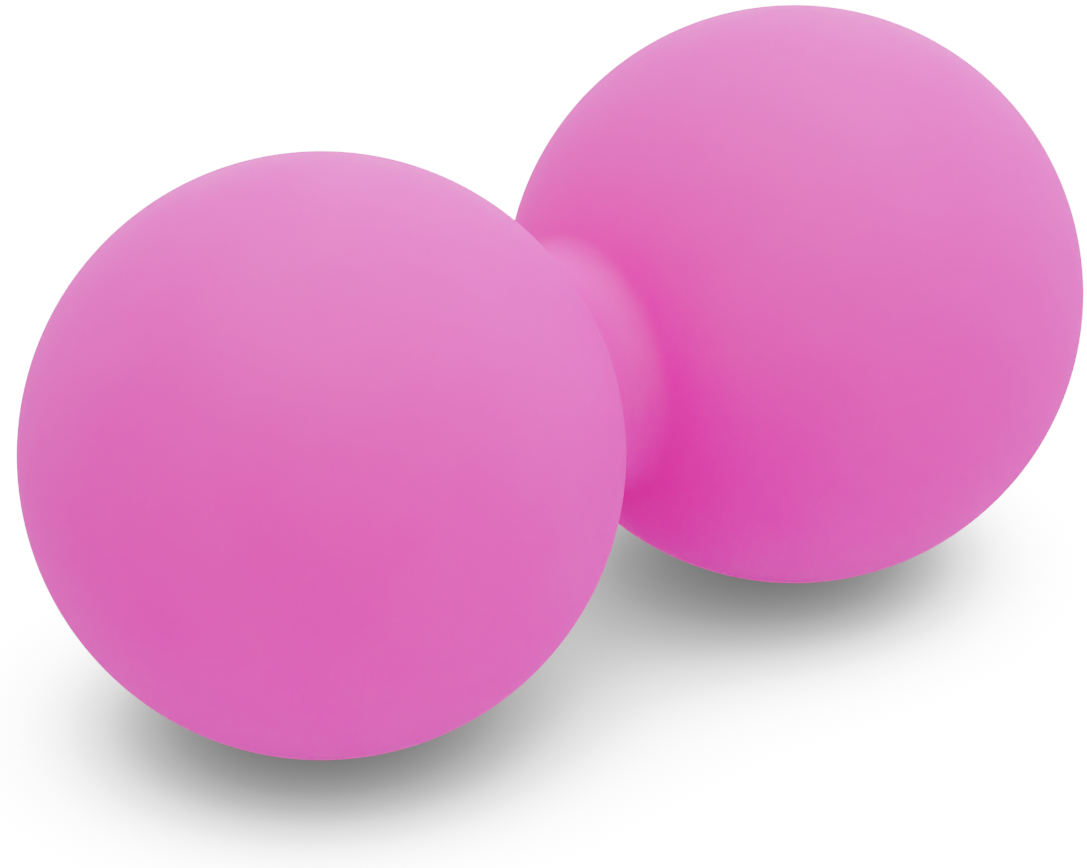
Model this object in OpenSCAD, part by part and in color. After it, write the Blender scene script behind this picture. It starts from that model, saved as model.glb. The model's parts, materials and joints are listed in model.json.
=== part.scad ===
// Peanut massage ball: a pair of equal balls moulded in one piece with the short neck that joins them.
// The long axis lies along X, and the origin is the middle of the neck.

/* [Balls] */
// Diameter of each ball
ball_d = 63.5; // [50:0.5:80]

/* [Neck] */
// Diameter of the neck
neck_d = 25.4; // [16:0.1:36]
// Length of the neck's straight stretch, between its fillets
neck_straight_l = 0.5; // [0.2:0.1:20]
// Radius of the fillet that runs the neck into each ball
neck_fillet_r = 3.815; // [1:0.005:10]

/* [Hidden] */
$fn = 180;

ball_r = ball_d / 2;
neck_r = neck_d / 2;

// Each fillet touches the neck and its ball, so its centre lies a fillet's radius outside both
fillet_out = neck_r + neck_fillet_r;
fillet_to_ball = sqrt(pow(ball_r + neck_fillet_r, 2) - pow(fillet_out, 2));

// The outline is drawn with the long axis up the page, each radius to the right and the
// middle of the neck at the origin. These are the centres of the upper ball and its fillet.
fillet_centre = [fillet_out, neck_straight_l / 2];
ball_centre = [0, fillet_centre.y + fillet_to_ball];

// The ball, as far as the line from its centre to the fillet's
module ball_outline() {
    reach = 2 * ball_r;
    intersection() {
        translate(ball_centre)
            circle(r = ball_r);
        polygon([
            ball_centre,
            fillet_centre,
            [reach, fillet_centre.y],
            ball_centre + [reach, reach],
            ball_centre + [0, reach]
        ]);
    }
}

// The web between that line and the neck's straight stretch, hollowed by the fillet
module fillet_outline() {
    difference() {
        polygon([
            ball_centre,
            [0, fillet_centre.y],
            fillet_centre
        ]);
        translate(fillet_centre)
            circle(r = neck_fillet_r);
    }
}

module half_outline() {
    ball_outline();
    fillet_outline();
    square([neck_r, neck_straight_l / 2]);
}

module peanut_ball() {
    color([0.87, 0.45, 0.74])
        rotate([0, 90, 0])
            rotate_extrude() {
                half_outline();
                mirror([0, 1])
                    half_outline();
            }
}

peanut_ball();
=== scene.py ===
"""Dresses the peanut massage ball in its moulded silicone rubber and shows it in a white studio."""

import json
import logging
import math
from dataclasses import dataclass, field
from enum import Enum

import bpy
from mathutils import Euler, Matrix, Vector


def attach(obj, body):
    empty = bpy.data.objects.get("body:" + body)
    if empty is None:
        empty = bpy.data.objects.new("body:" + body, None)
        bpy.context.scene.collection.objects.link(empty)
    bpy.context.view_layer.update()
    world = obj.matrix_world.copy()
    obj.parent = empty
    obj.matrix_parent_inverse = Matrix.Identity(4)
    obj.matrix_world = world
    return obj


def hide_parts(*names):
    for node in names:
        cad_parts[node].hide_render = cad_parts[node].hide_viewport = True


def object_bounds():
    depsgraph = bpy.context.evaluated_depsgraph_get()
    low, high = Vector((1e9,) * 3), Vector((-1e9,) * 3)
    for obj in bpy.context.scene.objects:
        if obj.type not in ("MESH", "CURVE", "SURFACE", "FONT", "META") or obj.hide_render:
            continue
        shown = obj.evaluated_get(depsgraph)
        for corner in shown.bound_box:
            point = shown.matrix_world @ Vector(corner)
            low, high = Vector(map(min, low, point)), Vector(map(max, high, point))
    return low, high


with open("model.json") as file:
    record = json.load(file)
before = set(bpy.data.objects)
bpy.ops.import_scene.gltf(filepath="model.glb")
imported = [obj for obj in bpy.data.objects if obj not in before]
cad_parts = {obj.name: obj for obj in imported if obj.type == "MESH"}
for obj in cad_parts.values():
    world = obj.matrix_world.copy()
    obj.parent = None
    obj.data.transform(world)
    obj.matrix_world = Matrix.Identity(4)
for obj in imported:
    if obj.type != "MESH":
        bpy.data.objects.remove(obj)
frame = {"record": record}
cad_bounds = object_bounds()

log = logging.getLogger("peanut_ball")

MM = 0.001
WELD = 0.002 * MM  # points nearer to each other than this are one
NODE_GAP = 40.0  # room between two nodes in the editor
ALL_CHANNELS = 3  # place of the tone curve that acts on red, green and blue alike

Colour = tuple[float, float, float]
Term = bpy.types.NodeSocket | Vector | float  # what a step of arithmetic takes


class Side(Enum):
    """Sides of the studio as the camera sees them: to its right, ahead of it and up."""

    OVERHEAD = (0, 0, 1)
    RIGHT = (1, 0, 0)
    FRONT = (0, -1, 0)
    BACK = (0, 1, 0)


class ShaderGraph:
    """Adds nodes to one node tree and joins their sockets."""

    def __init__(self, tree: bpy.types.NodeTree) -> None:
        """Takes the tree that the nodes go into.

        Args:
            tree: Node tree of a material, a world or a group.
        """
        self.tree = tree
        self.column = 0.0

    def add(self, kind: str, label: str, **values: object) -> bpy.types.Node:
        """Adds one node to the right of the last one.

        Args:
            kind: Blender's type name of the node.
            label: Plain words shown on the node.
            **values: Input values, by socket name with underscores for spaces.

        Returns:
            The new node.
        """
        node = self.tree.nodes.new(kind)
        node.label = label
        node.location.x = self.column
        self.column += node.width + NODE_GAP
        for name, value in values.items():
            node.inputs[name.replace("_", " ")].default_value = value
        return node

    def join(self, source: bpy.types.NodeSocket, target: bpy.types.NodeSocket) -> None:
        """Joins an output to an input."""
        self.tree.links.new(source, target)

    def maths(self, operation: str, label: str, *terms: Term) -> bpy.types.NodeSocket:
        """Adds one sum, product or other step of arithmetic.

        Args:
            operation: Blender's name of the step, such as MULTIPLY_ADD.
            label: Plain words shown on the node.
            *terms: Outputs or numbers, in the order of the node's inputs.

        Returns:
            The result.
        """
        return self._step("ShaderNodeMath", operation, label, terms).outputs[0]

    def vectors(self, operation: str, label: str, *terms: Term) -> bpy.types.NodeSocket:
        """Adds one step of vector arithmetic.

        Args:
            operation: Blender's name of the step, such as SUBTRACT.
            label: Plain words shown on the node.
            *terms: Outputs or vectors, in the order of the node's inputs.

        Returns:
            The result, which is a number for a length or a dot product.
        """
        node = self._step("ShaderNodeVectorMath", operation, label, terms)
        return node.outputs["Value" if operation in ("DOT_PRODUCT", "LENGTH") else "Vector"]

    def _step(
        self, kind: str, operation: str, label: str, terms: tuple[Term, ...]
    ) -> bpy.types.Node:
        """Adds a node of arithmetic and fills its inputs.

        Args:
            kind: Blender's type name of the node.
            operation: Blender's name of the step.
            label: Plain words shown on the node.
            terms: Outputs, numbers or vectors, in the order of the node's inputs.

        Returns:
            The node.
        """
        node = self.add(kind, label)
        node.operation = operation
        for socket, term in zip(node.inputs, terms):
            if isinstance(term, bpy.types.NodeSocket):
                self.join(term, socket)
            else:
                socket.default_value = term
        return node


@dataclass(frozen=True)
class MouldSkin:
    """Node group for the skin that a matt mould leaves: a fine grain on a gentle unevenness.

    Attributes:
        grain_detail, swell_detail: Octaves of the grain's and of the unevenness's noise.
        finer_share: Strength of each finer octave as a share of the one before.
        swell_share: Height of the unevenness as a share of the grain's.
    """

    grain_detail: float = 3.0
    swell_detail: float = 1.0
    finer_share: float = 0.5
    swell_share: float = 0.6

    def group(self) -> bpy.types.NodeTree:
        """Builds the group, or returns the one built before.

        Returns:
            A group with the inputs Vector, Grain Size and Swell Size, both in metres, and
            the outputs Height and Patch.
        """
        name = "mould skin"
        if name in bpy.data.node_groups:
            return bpy.data.node_groups[name]
        tree = bpy.data.node_groups.new(name, "ShaderNodeTree")
        tree.interface.new_socket("Vector", in_out="INPUT", socket_type="NodeSocketVector")
        tree.interface.new_socket("Grain Size", in_out="INPUT", socket_type="NodeSocketFloat")
        tree.interface.new_socket("Swell Size", in_out="INPUT", socket_type="NodeSocketFloat")
        tree.interface.new_socket("Height", in_out="OUTPUT", socket_type="NodeSocketFloat")
        tree.interface.new_socket("Patch", in_out="OUTPUT", socket_type="NodeSocketFloat")
        graph = ShaderGraph(tree)
        given = graph.add("NodeGroupInput", "given")
        grain = self._noise(graph, given, "Grain Size", "grain", self.grain_detail)
        swell = self._noise(graph, given, "Swell Size", "swell", self.swell_detail)
        height = graph.maths(
            "MULTIPLY_ADD", "grain on swell", swell.outputs[0], self.swell_share, grain.outputs[0]
        )
        result = graph.add("NodeGroupOutput", "result")
        graph.join(height, result.inputs["Height"])
        graph.join(swell.outputs[0], result.inputs["Patch"])
        return tree

    def _noise(
        self, graph: ShaderGraph, given: bpy.types.Node, size: str, label: str, detail: float
    ) -> bpy.types.Node:
        """Adds a noise whose blobs are about as wide as the group's size input says.

        Args:
            graph: Graph of the group.
            given: The group's input node.
            size: Name of the input that holds the size in metres.
            label: Plain words shown on the noise.
            detail: Octaves of the noise.

        Returns:
            The noise node.
        """
        scale = graph.maths("DIVIDE", f"{label} per metre", 1.0, given.outputs[size])
        noise = graph.add("ShaderNodeTexNoise", label, Detail=detail, Roughness=self.finer_share)
        graph.join(given.outputs["Vector"], noise.inputs["Vector"])
        graph.join(scale, noise.inputs["Scale"])
        return noise


@dataclass(frozen=True)
class SiliconeRubber:
    """Matt silicone rubber, coloured right through, that light sinks into.

    Attributes:
        name: Name of the material.
        pale, deep: Colours at the two ends of the pigment's slight unevenness.
        roughness: Lowest and highest roughness over the skin.
        gloss: Strength of the skin's reflections, where 0.5 is that of its refractive index.
        ior: Refractive index of the skin.
        scatter: Share of the light that enters the rubber.
        reach: How far red, green and blue light travel in the rubber, in metres.
        grain_size, swell_size: Widths of the mould's grain and unevenness, in metres.
        pigment_size: Width of the pigment's patches, in metres.
        pigment_detail: Octaves of the pigment's noise.
        pigment_finer_share: Strength of each finer octave as a share of the one before.
        pigment_spread: Ends of the noise between which the pigment turns from deep to pale.
        relief: Height of the skin's relief, in metres.
    """

    name: str = "pink_rubber"
    pale: Colour = (0.955, 0.089, 0.401)
    deep: Colour = (0.947, 0.081, 0.389)
    roughness: tuple[float, float] = (0.65, 0.75)
    gloss: float = 0.8
    ior: float = 1.45
    scatter: float = 1.0
    reach: tuple[float, float, float] = (5 * MM, 1.2 * MM, 2.5 * MM)
    grain_size: float = 0.35 * MM
    swell_size: float = 6 * MM
    pigment_size: float = 16 * MM
    pigment_detail: float = 2.0
    pigment_finer_share: float = 0.4
    pigment_spread: tuple[float, float] = (0.35, 0.65)
    relief: float = 0.012 * MM

    def material(self) -> bpy.types.Material:
        """Builds the rubber.

        Returns:
            The material, whose patterns read Object coordinates.
        """
        material = bpy.data.materials.new(self.name)
        material.use_nodes = True
        material.node_tree.nodes.clear()
        graph = ShaderGraph(material.node_tree)
        place = graph.add("ShaderNodeTexCoord", "place")
        skin = graph.add("ShaderNodeGroup", "skin")
        skin.node_tree = MouldSkin().group()
        skin.inputs["Grain Size"].default_value = self.grain_size
        skin.inputs["Swell Size"].default_value = self.swell_size
        graph.join(place.outputs["Object"], skin.inputs["Vector"])
        shader = graph.add(
            "ShaderNodeBsdfPrincipled",
            "rubber",
            IOR=self.ior,
            Specular_IOR_Level=self.gloss,
            Subsurface_Weight=self.scatter,
            Subsurface_Radius=self.reach,
            Subsurface_Scale=1.0,
        )
        shader.subsurface_method = "RANDOM_WALK"
        graph.join(self._pigment(graph, place), shader.inputs["Base Color"])
        graph.join(self._roughness(graph, skin), shader.inputs["Roughness"])
        bump = graph.add("ShaderNodeBump", "relief", Strength=1.0, Distance=self.relief)
        graph.join(skin.outputs["Height"], bump.inputs["Height"])
        graph.join(bump.outputs["Normal"], shader.inputs["Normal"])
        output = graph.add("ShaderNodeOutputMaterial", "surface")
        graph.join(shader.outputs["BSDF"], output.inputs["Surface"])
        return material

    def _pigment(self, graph: ShaderGraph, place: bpy.types.Node) -> bpy.types.NodeSocket:
        """Mixes the pale and the deep colour in wide, soft patches.

        Args:
            graph: Graph of the material.
            place: Texture coordinate node.

        Returns:
            The colour.
        """
        patches = graph.add(
            "ShaderNodeTexNoise",
            "pigment",
            Scale=1 / self.pigment_size,
            Detail=self.pigment_detail,
            Roughness=self.pigment_finer_share,
        )
        graph.join(place.outputs["Object"], patches.inputs["Vector"])
        ramp = graph.add("ShaderNodeValToRGB", "deep to pale")
        for stop, spot, colour in zip(
            ramp.color_ramp.elements, self.pigment_spread, (self.deep, self.pale)
        ):
            stop.position = spot
            stop.color = (*colour, 1.0)
        graph.join(patches.outputs[0], ramp.inputs[0])
        return ramp.outputs["Color"]

    def _roughness(self, graph: ShaderGraph, skin: bpy.types.Node) -> bpy.types.NodeSocket:
        """Makes the skin's swells a little rougher than its hollows.

        Args:
            graph: Graph of the material.
            skin: The skin group's node.

        Returns:
            The roughness.
        """
        low, high = self.roughness
        spread = graph.add("ShaderNodeMapRange", "roughness", To_Min=low, To_Max=high)
        graph.join(skin.outputs["Patch"], spread.inputs["Value"])
        return spread.outputs["Result"]


@dataclass(frozen=True)
class PeanutSizes:
    """Sizes of the moulding, in metres.

    Attributes:
        ball_radius: Radius of each ball.
        ball_offset: Distance from the middle of the neck to each ball's centre.
        neck_radius: Radius of the neck's straight stretch.
        neck_straight: Length of that stretch.
    """

    ball_radius: float
    ball_offset: float
    neck_radius: float
    neck_straight: float

    @classmethod
    def of_frame(cls) -> "PeanutSizes":
        """Reads the sizes from the neck's mount and a ball's seat, which lies under its centre.

        Returns:
            The sizes.
        """
        mounts = {mount["name"]: mount for mount in frame["record"]["mounts"]}
        seat_x, _, seat_z = mounts["right_ball_seat"]["pos_m"]
        neck = mounts["neck"]["dims"]
        return cls(
            ball_radius=-seat_z,
            ball_offset=seat_x,
            neck_radius=neck["r_mm"] * MM,
            neck_straight=neck["length_mm"] * MM,
        )

    @property
    def fillet_reach(self) -> float:
        """Distance along the axis from a fillet's centre to its ball's centre."""
        return self.ball_offset - self.neck_straight / 2

    @property
    def fillet_radius(self) -> float:
        """Radius of the fillet that touches both the neck and the ball."""
        squares = self.fillet_reach**2 + self.neck_radius**2 - self.ball_radius**2
        return squares / (2 * (self.ball_radius - self.neck_radius))

    @property
    def fillet_turn(self) -> float:
        """Angle at the fillet's centre between the ball's side and the neck's side, in radians."""
        return math.atan2(self.fillet_reach, self.neck_radius + self.fillet_radius)


@dataclass
class PeanutBall:
    """The one-piece moulding: a ball, its fillet and half of the neck, spun and mirrored.

    Attributes:
        node: Name of the node that the piece stands for.
        ball_steps: Rings from the ball's far pole to its fillet.
        fillet_steps: Rings of the fillet.
        segments: Faces round the long axis.
        rubber: What it is moulded in.
    """

    node: str = "peanut_ball"
    ball_steps: int = 112
    fillet_steps: int = 18
    segments: int = 192
    rubber: SiliconeRubber = field(default_factory=SiliconeRubber)

    def build(self) -> bpy.types.Object:
        """Models and dresses the moulding.

        Returns:
            The piece, with its place in its mesh.
        """
        piece = self._draw_outline(PeanutSizes.of_frame())
        self._spin()
        self._mirror(piece)
        piece.data.materials.append(self.rubber.material())
        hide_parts(self.node)
        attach(piece, "root")
        return piece

    def _outline(self, sizes: PeanutSizes) -> list[tuple[float, float]]:
        """Works out the outline of the half that lies on +X.

        Args:
            sizes: Sizes of the moulding.

        Returns:
            Points from the ball's far pole to the middle of the neck, each with its place
            along the long axis and its distance from it.
        """
        ball, fillet = sizes.ball_radius, sizes.fillet_radius
        ball_sweep = math.pi / 2 + sizes.fillet_turn
        ball_turns = [ball_sweep * step / self.ball_steps for step in range(self.ball_steps + 1)]
        fillet_turns = [
            sizes.fillet_turn * (1 - step / self.fillet_steps)
            for step in range(1, self.fillet_steps + 1)
        ]
        centre_x = sizes.neck_straight / 2
        centre_out = sizes.neck_radius + fillet
        ball_arc = [
            (sizes.ball_offset + ball * math.cos(turn), ball * math.sin(turn)) for turn in ball_turns
        ]
        fillet_arc = [
            (centre_x + fillet * math.sin(turn), centre_out - fillet * math.cos(turn))
            for turn in fillet_turns
        ]
        return [*ball_arc, *fillet_arc, (0.0, sizes.neck_radius)]

    def _draw_outline(self, sizes: PeanutSizes) -> bpy.types.Object:
        """Draws the outline by extruding one point along it.

        Args:
            sizes: Sizes of the moulding.

        Returns:
            The outline, in edit mode.
        """
        outline = self._outline(sizes)
        start_x, start_out = outline[0]
        bpy.ops.object.select_all(action="DESELECT")
        bpy.ops.mesh.primitive_plane_add(size=1, location=(start_x, 0, start_out))
        piece = bpy.context.object
        piece.name = piece.data.name = "moulded_peanut_ball"
        bpy.ops.object.transform_apply(location=True, rotation=True, scale=True)
        bpy.ops.object.mode_set(mode="EDIT")
        bpy.ops.mesh.select_all(action="SELECT")
        bpy.ops.mesh.merge(type="CENTER")
        for (last_x, last_out), (x, out) in zip(outline, outline[1:]):
            step = (x - last_x, 0, out - last_out)
            bpy.ops.mesh.extrude_vertices_move(TRANSFORM_OT_translate={"value": step})
        return piece

    def _spin(self) -> None:
        """Spins the outline round the long axis into a closed skin, open at the neck's middle."""
        bpy.ops.mesh.select_all(action="SELECT")
        bpy.ops.mesh.spin(
            steps=self.segments, angle=2 * math.pi, center=(0, 0, 0), axis=(1, 0, 0)
        )
        bpy.ops.mesh.select_all(action="SELECT")
        bpy.ops.mesh.remove_doubles(threshold=WELD)
        bpy.ops.object.mode_set(mode="OBJECT")

    def _mirror(self, piece: bpy.types.Object) -> None:
        """Mirrors the half onto -X, closes the seam in the neck and shades it smooth.

        Args:
            piece: The half that lies on +X.
        """
        mirror = piece.modifiers.new("other half", "MIRROR")
        mirror.use_axis = (True, False, False)
        mirror.merge_threshold = WELD
        bpy.ops.object.modifier_apply(modifier=mirror.name)
        bpy.ops.object.mode_set(mode="EDIT")
        bpy.ops.mesh.select_all(action="SELECT")
        bpy.ops.mesh.normals_make_consistent(inside=False)
        bpy.ops.object.mode_set(mode="OBJECT")
        bpy.ops.object.shade_smooth()


@dataclass(frozen=True)
class View:
    """The camera, with the photograph's framing.

    Attributes:
        place: Where it stands, in metres.
        azimuth: The way it looks, in degrees clockwise from +Y, seen from above.
        elevation: How far it looks down, in degrees.
        focal_px: Focal length in pixels of a picture as wide as frame_px.
        frame_px: Width of that picture.
        sensor_mm: Width of the camera's sensor.
        clip: Nearest and farthest distance that it sees, in metres.
    """

    place: tuple[float, float, float] = (-0.3519, -0.4615, 0.2928)
    azimuth: float = 37.11
    elevation: float = 27.35
    focal_px: float = 6066.0
    frame_px: float = 1087.0
    sensor_mm: float = 36.0
    clip: tuple[float, float] = (0.01, 50.0)

    def place_camera(self) -> bpy.types.Object:
        """Adds the camera and makes it the scene's own.

        Returns:
            The camera's object.
        """
        data = bpy.data.cameras.new("camera")
        data.sensor_fit = "HORIZONTAL"
        data.sensor_width = self.sensor_mm
        data.lens = self.focal_px / self.frame_px * self.sensor_mm
        data.clip_start, data.clip_end = self.clip
        camera = bpy.data.objects.new("camera", data)
        bpy.context.scene.collection.objects.link(camera)
        camera.location = self.place
        tilt = math.radians(90 - self.elevation)
        camera.rotation_euler = Euler((tilt, 0, -math.radians(self.azimuth)))
        bpy.context.scene.camera = camera
        return camera


def seen_from_camera(direction: tuple[float, float, float], azimuth: float) -> Vector:
    """Turns a direction that is given as the camera sees it: to its right, ahead of it and up.

    Args:
        direction: The direction, in the camera's level terms.
        azimuth: The way the camera looks, in degrees clockwise from +Y.

    Returns:
        The same direction in the frame, one unit long.
    """
    turned = Vector(direction).normalized()
    turned.rotate(Euler((0, 0, -math.radians(azimuth))))
    return turned


@dataclass(frozen=True)
class Glow:
    """A brighter side of the sky, as wide as a softbox behind a big diffuser.

    Attributes:
        side: Where its middle is.
        brightness: Brightness of its middle.
        focus: Power of the cosine that it fades with: more is narrower.
    """

    side: Side
    brightness: float
    focus: float = 1.0

    def add_to(self, graph: ShaderGraph, place: bpy.types.Node, azimuth: float) -> Term:
        """Adds the glow's brightness, seen from the middle of the studio.

        Args:
            graph: Graph of the sky.
            place: Texture coordinate node.
            azimuth: The way the camera looks, in degrees clockwise from +Y.

        Returns:
            The brightness.
        """
        towards = seen_from_camera(self.side.value, azimuth)
        name = f"slant from {self.side.name.lower()}"
        slant = graph.vectors("DOT_PRODUCT", name, place.outputs["Generated"], towards)
        near = graph.maths("MAXIMUM", "this half of the sky", slant, 0.0)
        fade = graph.maths("POWER", "fade", near, self.focus)
        return graph.maths("MULTIPLY", "glow", fade, self.brightness)


@dataclass(frozen=True)
class Sky:
    """Soft light from all round, with its glows. The camera sees plain white.

    No ray is aimed at the sky, so that each kind of ray meets the brightness meant for it.

    Attributes:
        even: Brightness without the glows.
        glows: The brighter sides.
        seen: Brightness that the camera sees.
    """

    even: float = 0.07
    glows: tuple[Glow, ...] = (
        Glow(Side.OVERHEAD, 2.16, focus=4.0),
        Glow(Side.RIGHT, 0.53),
        Glow(Side.FRONT, 0.36),
        Glow(Side.BACK, 0.89),
    )
    seen: float = 4.0

    def build(self, azimuth: float) -> None:
        """Makes the sky the scene's world.

        Args:
            azimuth: The way the camera looks, in degrees clockwise from +Y.
        """
        world = bpy.data.worlds.new("white_sky")
        world.use_nodes = True
        world.node_tree.nodes.clear()
        graph = ShaderGraph(world.node_tree)
        place = graph.add("ShaderNodeTexCoord", "place")
        light: Term = self.even
        for glow in self.glows:
            part = glow.add_to(graph, place, azimuth)
            light = graph.maths("ADD", "light so far", part, light)
        ray = graph.add("ShaderNodeLightPath", "kind of ray")
        shown = graph.add("ShaderNodeMix", "what the camera sees", B=self.seen)
        graph.join(ray.outputs["Is Camera Ray"], shown.inputs["Factor"])
        graph.join(light, shown.inputs["A"])
        background = graph.add("ShaderNodeBackground", "sky")
        graph.join(shown.outputs["Result"], background.inputs["Strength"])
        output = graph.add("ShaderNodeOutputWorld", "world")
        graph.join(background.outputs[0], output.inputs["Surface"])
        world.cycles.sampling_method = "NONE"
        bpy.context.scene.world = world


@dataclass(frozen=True)
class PaintedShadowFloor:
    """White floor that glows as if lit from below, with a painted shadow where the balls would hide
    the sky from it.

    No ray is aimed at the floor, so that each kind of ray meets the brightness meant for it.

    Attributes:
        width: Width of the floor, in metres.
        even_bounce, bounce: Glow that lights the part, all over and, with painted shade, where the
            sky is open.
        mirrored: Brightness under open sky that the part's gloss mirrors, painted shadow and all.
        seen: Brightness under open sky that the camera sees.
        light: Where most of the light comes from, as the camera sees it, which leans the painted
            shadow.
        darkest: Share of the seen brightness that the painted shadow leaves under no sky at all.
        shade: Pairs of the share of open sky and the share of the seen brightness, which draw the
            painted shadow.
    """

    width: float = 6.0
    even_bounce: float = 0.32
    bounce: float = 0.51
    mirrored: float = 0.20
    seen: float = 2.2
    light: tuple[float, float, float] = (0.123, 0.042, 1.0)
    darkest: float = 0.038
    shade: tuple[tuple[float, float], ...] = (
        (0.12, 0.06),
        (0.22, 0.09),
        (0.32, 0.16),
        (0.37, 0.24),
        (0.42, 0.36),
        (0.52, 0.66),
        (0.62, 0.85),
        (0.72, 0.93),
        (0.80, 1.0),
    )

    def build(self, azimuth: float) -> None:
        """Lays the floor under the lowest point of the part.

        Args:
            azimuth: The way the camera looks, in degrees clockwise from +Y.
        """
        bpy.ops.object.select_all(action="DESELECT")
        lowest = cad_bounds[0][2]
        bpy.ops.mesh.primitive_plane_add(size=self.width, location=(0, 0, lowest))
        floor = bpy.context.object
        floor.name = "floor"
        floor.data.materials.append(self._glow_with_painted_shadow(azimuth))

    def _glow_with_painted_shadow(self, azimuth: float) -> bpy.types.Material:
        """Builds the floor's glow, with its painted shadow.

        Args:
            azimuth: The way the camera looks, in degrees clockwise from +Y.

        Returns:
            The material.
        """
        material = bpy.data.materials.new("floor_with_painted_shadow")
        material.use_nodes = True
        material.node_tree.nodes.clear()
        graph = ShaderGraph(material.node_tree)
        painted_shadow_sky_share = self._painted_shadow_sky_share(graph, azimuth)
        # The shade curve draws the painted shadow on the floor from the share of open sky.
        shade = graph.add("ShaderNodeFloatCurve", "shade")
        curve = shade.mapping.curves[0]
        curve.points[0].location = (0.0, self.darkest)
        for share, left in self.shade:
            curve.points.new(share, left).handle_type = "AUTO_CLAMPED"
        shade.mapping.update()
        graph.join(painted_shadow_sky_share, shade.inputs["Value"])
        # What the camera sees of the floor: its glow darkened by the painted shadow.
        seen = graph.maths("MULTIPLY", "what the camera sees", shade.outputs[0], self.seen)
        # The floor that the gloss mirrors darkens with the painted shadow, so the gloss shows it
        # too.
        mirrored = graph.maths("MULTIPLY", "what the gloss mirrors", painted_shadow_sky_share, self.mirrored)
        # The floor's glow lights the part from below in place of bounced light, with painted shade
        # near the balls.
        bounce = graph.maths(
            "MULTIPLY_ADD", "what lights the part", painted_shadow_sky_share, self.bounce, self.even_bounce
        )
        ray = graph.add("ShaderNodeLightPath", "kind of ray")
        strength = bounce
        for kind, brightness in (("Is Glossy Ray", mirrored), ("Is Camera Ray", seen)):
            choice = graph.add("ShaderNodeMix", kind)
            graph.join(ray.outputs[kind], choice.inputs["Factor"])
            graph.join(strength, choice.inputs["A"])
            graph.join(brightness, choice.inputs["B"])
            strength = choice.outputs["Result"]
        light = graph.add("ShaderNodeEmission", "light")
        graph.join(strength, light.inputs["Strength"])
        output = graph.add("ShaderNodeOutputMaterial", "surface")
        graph.join(light.outputs[0], output.inputs["Surface"])
        material.cycles.emission_sampling = "NONE"
        return material

    def _painted_shadow_sky_share(self, graph: ShaderGraph, azimuth: float) -> Term:
        """Works out, from the balls' places alone, the share of the sky that the two balls would
        leave open to a point of the floor, for the floor's painted shadow.

        A ball of radius r, seen from the point along the vector c, hides r² (n·c) / |c|³ of
        the light, where n points to where most of it comes from.

        Args:
            graph: Graph of the floor.
            azimuth: The way the camera looks, in degrees clockwise from +Y.

        Returns:
            The share, from 0 to 1.
        """
        sizes = PeanutSizes.of_frame()
        place = graph.add("ShaderNodeTexCoord", "place")
        light = seen_from_camera(self.light, azimuth)
        share: Term = 1.0
        # Each ball's painted shadow is worked out from its place, not cast by it.
        for ball_x in (-sizes.ball_offset, sizes.ball_offset):
            centre = Vector((ball_x, 0, sizes.ball_radius))
            to_ball = graph.vectors("SUBTRACT", "to the ball", centre, place.outputs["Object"])
            distance = graph.vectors("LENGTH", "distance", to_ball)
            facing = graph.vectors("DOT_PRODUCT", "in the light's way", to_ball, light)
            spread = graph.maths("POWER", "spread", distance, 3.0)
            size = graph.maths("MULTIPLY", "ball's size", facing, sizes.ball_radius**2)
            painted_shadow_share = graph.maths("DIVIDE", "painted shadow of the ball", size, spread)
            share = graph.maths("SUBTRACT", "sky left", share, painted_shadow_share)
        return share


@dataclass(frozen=True)
class ToneCurve:
    """How the picture's brightness follows the scene's, as a film's does.

    Attributes:
        white: Scene brightness that comes out as full white.
        points: Pairs of scene brightness and picture brightness, from dark to light.
    """

    white: float = 2.0
    points: tuple[tuple[float, float], ...] = (
        (0.03, 0.039),
        (0.06, 0.139),
        (0.12, 0.269),
        (0.25, 0.485),
        (0.50, 0.672),
        (1.00, 0.816),
    )

    def grade(self, settings: bpy.types.ColorManagedViewSettings) -> None:
        """Sets the picture's tones.

        Args:
            settings: View settings of the scene.
        """
        settings.view_transform = "Standard"
        settings.look = "None"
        settings.use_curve_mapping = True
        mapping = settings.curve_mapping
        mapping.extend = "HORIZONTAL"
        mapping.white_level = (self.white,) * 3
        curve = mapping.curves[ALL_CHANNELS]
        for scene_light, picture_light in self.points:
            point = curve.points.new(scene_light / self.white, picture_light)
            point.handle_type = "AUTO_CLAMPED"
        mapping.update()


@dataclass
class Studio:
    """The white studio round the part.

    Attributes:
        view: The camera, which the sky's glows are set round.
        sky, floor, tones: Its light, its floor with its painted shadow, and the picture's tones.
    """

    view: View = field(default_factory=View)
    sky: Sky = field(default_factory=Sky)
    floor: PaintedShadowFloor = field(default_factory=PaintedShadowFloor)
    tones: ToneCurve = field(default_factory=ToneCurve)

    def build(self) -> None:
        """Places the camera, makes the sky, lays the floor and sets the tones."""
        self.view.place_camera()
        self.sky.build(self.view.azimuth)
        self.floor.build(self.view.azimuth)
        self.tones.grade(bpy.context.scene.view_settings)


def main() -> None:
    """Builds the studio with its camera, and the part."""
    logging.basicConfig(level=logging.INFO, format="%(name)s: %(message)s")
    studio = Studio()
    studio.build()
    log.info("studio lit, camera %.0f mm", bpy.context.scene.camera.data.lens)
    piece = PeanutBall().build()
    log.info("%s: %d faces", piece.name, len(piece.data.polygons))


if __name__ == "__main__":
    main()
